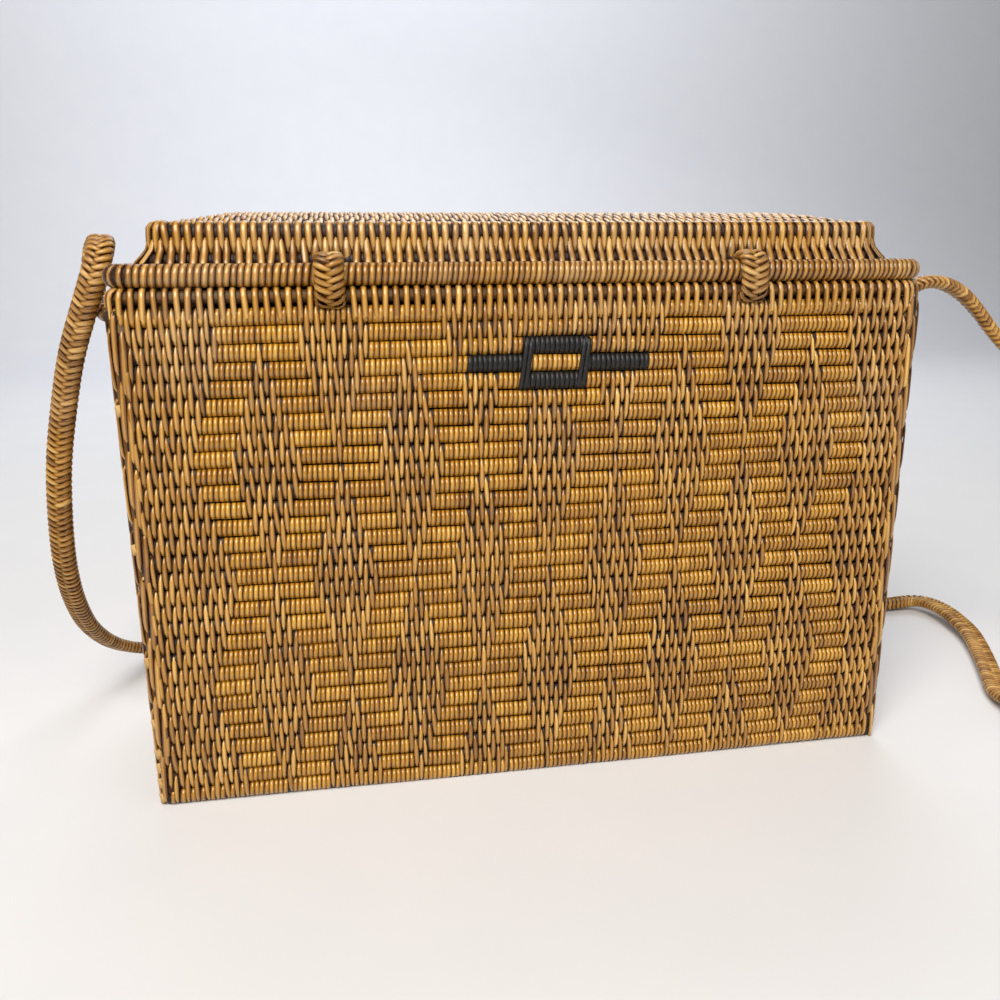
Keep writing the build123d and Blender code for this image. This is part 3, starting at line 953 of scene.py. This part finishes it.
crown_pitch = 2.95
crown_length = ring_length(half_width - crown_inset, half_depth - crown_inset, crown_corner)
crown_count = round(crown_length / crown_pitch)
crown_edge = np.array([crown_inset, crown_top])
upper_line = crown_edge + np.array(
    [(5.2, 0.5), (3.2, 0.5), (1.4, 0.05), (0.45, -1.1), (0.3, -3.0), (0.2, -5.6), (0.4, -7.4), (1.7, -8.4)]
)
lower_line = crown_edge + np.array(
    [(1.6, -3.6), (0.4, -4.8), (-0.4, -7.0), (-2.1, -9.0), (-3.4, -10.3), (-4.0, -11.6)]
)
upper_widths = 1.1 * np.array([0.6, 0.9, 1, 1, 1, 0.95, 0.75, 0.4])
lower_widths = 1.15 * np.array([0.4, 0.75, 1, 1, 1, 0.8])
side_strips = [
    crown_strips(upper_line, crown_count, 0, upper_widths, 0.58),
    crown_strips(lower_line, crown_count, 1, lower_widths, 0.52),
]
make_piece("lid_side_stitches", side_strips, lid_vine, body="lid")
side_core = [
    ring_rod(crown_inset + inset, crown_corner, radius, crown_top + z, facing, lid_middle, dent)
    for inset, z, radius, dent in side_rods
]
make_piece("lid_side_rods", side_core, lid_rods, ["lid_skirt"], "lid")

# %% [markdown]
# ## The lid's top
# The top is a wall that lies flat, in brick stitch like the base. A swell lifts it in the middle and falls
# off to all four sides, so the same weave serves a curved mat.

# %% Lid top
top_rows = 11
top_rise = 4.2
top_end_slope = 20.0
top_half, top_reach = half_depth - crown_inset - top_margin, half_width - crown_inset - top_margin
top_v = 2 * top_half * ((np.arange(top_rows) + 0.5) / top_rows - 0.5)
lid_top = wall_frame((lid_middle[0], 0, crown_top), (1, 0, 0), (0, 1, 0), (0, 0, 1))
top_slots = np.arange(-71, 72)


def top_swell(u, v):
    """The top's gentle swell, highest in the middle."""
    ends = np.clip((top_reach - np.abs(u)) / top_end_slope, 0, 1)
    return top_rise * np.minimum(1 - (v / top_half) ** 2, ends)


top_table = brick_table(top_rows, top_slots)
top_strips = weave_wall(lid_top, top_v[::-1], top_slots * slot_width, top_table, top_swell)
make_piece("lid_top_stitches", top_strips, lid_vine, body="lid")
top_rods = [weave_rods(lid_top, top_v[::-1], top_reach, top_swell)]
make_piece("lid_top_rods", top_rods, lid_rods, ["lid_top_panel"], "lid")

# %% [markdown]
# ## Plaits
# The strap and the two hinge loops are flat plaits. Each strand starts under the middle of one face, runs
# out to the edge, goes round it and comes back to the middle of the other face. Strands from both edges
# meet in the middle and make a row of arrow heads. The strands follow a line and a direction that the
# flat side faces, so one function makes strap and loops.

# %% Plait builder
strand_half_thick = 0.36


def read_off(place, known, vectors):
    """Vectors at any places, read off between the known ones."""
    return np.stack([np.interp(place, known, vectors[:, k]) for k in range(3)], axis=-1)


def plait(line, out, width, thickness, pitch, closed=False):
    """Strands of a flat plait along a line, whose face looks along out."""
    steps = np.linalg.norm(np.diff(line, axis=0), axis=1)
    gone = np.concatenate([[0], np.cumsum(steps)])
    ahead = unit(np.gradient(line, axis=0))
    side = unit(np.cross(out, ahead))
    face = np.cross(ahead, side)
    count = round(gone[-1] / pitch)
    share = np.linspace(-1, 1, 9)
    batches = []
    for edge, phase in ((1, 0.0), (-1, 0.5)):
        begin = (np.arange(count) + phase) * gone[-1] / count
        place = begin[:, None] + pitch * (1.15 * np.abs(share) ** 0.9 - 0.55)
        place = place % gone[-1] if closed else np.clip(place, 0, gone[-1])
        across = edge * (width / 2 - 0.3) * (1 - 1.22 * np.abs(share) ** 1.8)
        rise = np.sign(share) * (1 - (1 - np.abs(share)) ** 3)
        tuck = 0.5 * np.clip((np.abs(share) - 0.7) / 0.3, 0, 1) ** 2
        rise = rise * (thickness / 2 - 0.32 - tuck)
        at, sideways, outward = (read_off(place, gone, vectors) for vectors in (line, side, face))
        strand = at + across[:, None] * sideways + rise[:, None] * outward
        normal = np.sin(share * pi / 2)[:, None] * outward
        normal = normal + edge * np.cos(share * pi / 2)[:, None] * sideways
        wide = 0.5 * pitch * rng.normal(1, 0.07, (count, 1)) * (1 - 0.3 * np.abs(share) ** 3)
        tone = random_tones(count, 0.5, 0.15)
        batches.append(strips(strand, normal, wide, strand_half_thick, stitch_section, tone))
    core = strips(line[None], face[None], width * 0.34, thickness * 0.3, round_section(8), 0.0, closed)
    return batches, core


# %% [markdown]
# ## Hinge loops
# Each loop is a short plait that goes round the lid's roll and the basket's rim rod. The lid turns in
# them, so they stay with the basket.

# %% Hinge loops
loop_spread = 0.4
loop_thickness = 3.2
loop_pitch = 1.9
loop_sink = 1.1


def loop_line(low, high):
    """The middle line of a loop: a round top over the roll, straight legs and a round foot."""
    middle_x = (low[0] + high[0]) / 2
    middle_y = (low[1] + high[1]) / 2
    radius = (high[1] - low[1]) / 2 - loop_sink
    foot_z = low[2] + loop_sink + radius
    turn = np.radians(np.linspace(0, 180, 13))
    top = np.stack([radius * np.cos(turn), roll_z + radius * np.sin(turn)], axis=1)
    foot = np.stack([-radius * np.cos(turn), foot_z - radius * 0.75 * np.sin(turn)], axis=1)
    flat_line = np.concatenate([top, foot, top[:1]])
    across = np.full(len(flat_line), middle_x)
    points = np.stack([across, middle_y + flat_line[:, 0], flat_line[:, 1]], axis=1)
    centre = np.array([middle_x, middle_y, 0])
    out = points - centre
    out[:, 2] = points[:, 2] - np.clip(points[:, 2], foot_z, roll_z)
    return points, unit(out)


for name, (low, high) in zip(("left", "right"), loop_spans):
    line, out = loop_line(low, high)
    loop_width = high[0] - low[0] + loop_spread
    strands, _ = plait(line, out, loop_width, loop_thickness, loop_pitch, closed=True)
    replaced = ["hinge_loop_" + name]
    make_piece("loop_strands_" + name, strands, plaited_vine, replaced)

# %% [markdown]
# ## Shoulder strap
# The strap is one flat plait, about 0.95 m long, that goes from one end of the bag to the other. Its line
# is a smooth spline through the same places as its plain solid. The mesh follows points that Blender
# reads from that spline, and a short list says which way the flat side faces along it.

# %% Strap line
strap_route = [
    (-0.1155, 0.0, 0.145),
    (-0.125, 0.0, 0.145),
    (-0.1315, 0.005, 0.1475),
    (-0.1335, 0.012, 0.1545),
    (-0.132, 0.0115, 0.163),
    (-0.128, 0.0045, 0.1686),
    (-0.126, -0.004, 0.1662),
    (-0.1278, -0.008, 0.159),
    (-0.132, -0.008, 0.1485),
    (-0.1375, -0.007, 0.135),
    (-0.142, -0.005, 0.119),
    (-0.1463, -0.003, 0.101),
    (-0.1489, 0.0, 0.082),
    (-0.1515, 0.007, 0.064),
    (-0.1535, 0.019, 0.047),
    (-0.154, 0.034, 0.031),
    (-0.15, 0.051, 0.0165),
    (-0.139, 0.067, 0.007),
    (-0.119, 0.0775, 0.003),
    (-0.088, 0.0795, 0.003),
    (-0.046, 0.075, 0.003),
    (0.004, 0.071, 0.003),
    (0.056, 0.07, 0.003),
    (0.104, 0.0725, 0.003),
    (0.143, 0.0715, 0.003),
    (0.1715, 0.0673, 0.003),
    (0.1908, 0.067, 0.003),
    (0.2004, 0.0675, 0.0036),
    (0.205, 0.064, 0.0048),
    (0.207, 0.0569, 0.0056),
    (0.2072, 0.0476, 0.0058),
    (0.206, 0.0375, 0.0054),
    (0.2042, 0.0269, 0.0046),
    (0.1979, 0.0119, 0.0038),
    (0.1882, -0.0071, 0.0032),
    (0.1754, -0.0295, 0.0036),
    (0.1785, -0.057, 0.0145),
    (0.1875, -0.0665, 0.0275),
    (0.1985, -0.066, 0.045),
    (0.206, -0.0565, 0.064),
    (0.2075, -0.0425, 0.083),
    (0.2035, -0.027, 0.1005),
    (0.195, -0.0135, 0.1155),
    (0.1778, -0.0035, 0.1298),
    (0.1664, -0.0005, 0.1443),
    (0.1595, 0.0004, 0.1502),
    (0.1524, 0.0003, 0.1531),
    (0.144, 0.0, 0.1535),
    (0.1345, 0.0, 0.1476),
    (0.125, 0.0, 0.145),
    (0.1155, 0.0, 0.145),
]
strap_faces = (
    (0, (0, 0, 1)),
    (2, (0.5, 0.5, 0.7)),
    (3, (0.3, 1, 0)),
    (5, (0, 0.2, 1)),
    (7, (0, -1, 0.2)),
    (12, (-0.25, -1, 0)),
    (15, (-0.3, -0.6, -0.6)),
    (18, (0, 0, -1)),
    (34, (0, 0, -1)),
    (37, (0, -1, -0.3)),
    (41, (0.6, -0.7, 0.4)),
    (45, (0.3, 0, 1)),
    (50, (0, 0, 1)),
)
strap_width = 0.008
strap_thickness = 4.6
strap_pitch = 2.1


def spline_points(route):
    """Points along a smooth spline with these control points, as Blender draws it."""
    curve = bpy.data.curves.new("strap_line", "CURVE")
    curve.dimensions = "3D"
    curve.resolution_u = 8
    spline = curve.splines.new("NURBS")
    spline.points.add(len(route) - 1)
    for point, place in zip(spline.points, route):
        point.co = (*place, 1.0)
    spline.order_u = 3
    spline.use_endpoint_u = True
    holder = bpy.data.objects.new("strap_line", curve)
    mesh = bpy.data.meshes.new_from_object(holder)
    points = np.array([vertex.co for vertex in mesh.vertices])
    bpy.data.objects.remove(holder)
    bpy.data.meshes.remove(mesh)
    return points


strap_line = spline_points(strap_route)
route = np.array(strap_route)
nearest = [int(np.linalg.norm(strap_line - route[k], axis=1).argmin()) for k, _ in strap_faces]
ways = np.array([way for _, way in strap_faces], float)
strap_out = read_off(np.arange(len(strap_line)), nearest, ways)
strands, core = plait(strap_line / MM, unit(strap_out), strap_width / MM, strap_thickness, strap_pitch)
strands.append(core)
strap = make_piece("shoulder_strap_plait", strands, plaited_vine, ["shoulder_strap"])

# %% [markdown]
# ## Knots
# Inside each end the strap is tied in a knot, so that it can't pull out. The knot is a few thick turns of
# the plait's strands laid over each other.

# %% Strap knots
knot_half_wide = 2.1
knot_half_thick = 1.9
knot_steps = 28
knot_rings = ((0.5, 0.0, 0.66), (-0.5, 0.3, 0.62), (0.15, -0.5, 0.7), (-0.2, 0.8, 0.58))


def knot(low, high):
    """Tilted rings of strand, laid over each other."""
    centre = (low + high) / 2
    size = (high - low) / 2
    turn = 2 * pi * np.arange(knot_steps) / knot_steps
    batches = []
    for tilt, lean, reach in knot_rings:
        wave = 0.35 * np.sin(turn + tilt * 4)
        ring = np.stack([wave, np.cos(turn), np.sin(turn)], axis=1) * size
        spin = np.array(Matrix.Rotation(tilt, 3, "Z") @ Matrix.Rotation(lean, 3, "Y"))
        line = centre + reach * ring @ spin.T
        out = unit(line - centre)[None]
        batches.append(
            strips(line[None], out, knot_half_wide, knot_half_thick, round_section(10), closed=True)
        )
    return batches


for name in ("strap_knot_left", "strap_knot_right"):
    make_piece(name + "_turns", knot(*span(name)), plaited_vine, [name])

# %% [markdown]
# ## Studio
# The bag stands on a plain pale sweep. A large soft lamp from above and the left makes the small
# highlights on the wraps, a weaker one fills from the right, one lights the back and one the backdrop.

# %% Floor and light
def sweep_material():
    """Pale matt paper."""
    material, tree, shader = new_material("pale_paper")
    tint = blend(tree, speckle(tree, 40, 5.0), linear("#dcdde0"), linear("#e2e2e4"))
    feed(tree, shader, {"Base Color": tint, "Roughness": 0.7})
    return material


def paper_sweep(depth, radius, height, half_length):
    """A floor that curves up to a backdrop."""
    turn = np.radians(np.linspace(-90, 0, 17))
    bend = np.stack([depth + radius * np.cos(turn), radius + radius * np.sin(turn)], axis=1)
    profile = np.concatenate([[(-3.0, 0.0)], bend, [(depth + radius, height)]])
    vertices = [(x, y, z) for x in (-half_length, half_length) for y, z in profile]
    count = len(profile)
    faces = [(k, k + count, k + count + 1, k + 1) for k in range(count - 1)]
    mesh = bpy.data.meshes.new("paper_sweep")
    mesh.from_pydata(vertices, [], faces)
    mesh.polygons.foreach_set("use_smooth", [True] * len(faces))
    mesh.materials.append(sweep_material())
    floor = put("paper_sweep", mesh)


def soft_lamp(name, place, aim, size, watts, colour):
    """A square area lamp that looks at a point."""
    data = bpy.data.lights.new(name, "AREA")
    data.size = size
    data.energy = watts
    data.color = linear(colour)[:3]
    lamp = put(name, data)
    lamp.location = place
    way = Matrix.Translation(aim).translation - lamp.location
    lamp.rotation_euler = way.to_track_quat("-Z", "Y").to_euler()


paper_sweep(1.1, 0.5, 3.0, 4.0)
bag_middle = (0.0, 0.0, 0.08)
soft_lamp("key", (-0.35, -0.75, 1.0), bag_middle, 0.75, 20.5, "#fffaf2")
soft_lamp("fill", (0.95, -0.8, 0.55), bag_middle, 0.9, 2.0, "#f4f8ff")
soft_lamp("back", (0.3, 0.9, 1.1), bag_middle, 0.8, 5.0, "#ffffff")
soft_lamp("backdrop", (0.0, 0.8, 1.3), (0.0, 1.6, 0.9), 1.2, 12.0, "#eef4ff")
world = bpy.data.worlds.new("studio")
world.use_nodes = True
bpy.context.scene.world = world
background = world.node_tree.nodes["Background"]
background.inputs["Color"].default_value = linear("#e6eaf0")
background.inputs["Strength"].default_value = 0.16
bpy.context.scene.view_settings.view_transform = "Standard"
print("lamps", len(bpy.data.lights))

# %% [markdown]
# ## Camera
# The camera has the place, the turn and the lens that the picture's perspective gives, so they are plain
# numbers. The place is in millimetres like all other sizes.

# %% Camera
focal_pixels = 914.28
picture_pixels = 1000
eye = np.array([-57.724, -300.398, 163.091])
yaw, pitch, roll = radians(9.7191), radians(14.9872), radians(-0.3301)
lens_data = bpy.data.cameras.new("camera")
lens_data.sensor_width = 36.0
lens_data.lens = lens_data.sensor_width * focal_pixels / picture_pixels
lens_data.clip_start = 0.01
camera = put("camera", lens_data)
turn = Matrix.Rotation(-yaw, 4, "Z") @ Matrix.Rotation(pi / 2 - pitch, 4, "X") @ Matrix.Rotation(roll, 4, "Z")
camera.matrix_world = Matrix.Translation(eye * MM) @ turn
bpy.context.scene.camera = camera
print("field of view", round(2 * degrees(atan(picture_pixels / 2 / focal_pixels)), 1), "degrees")
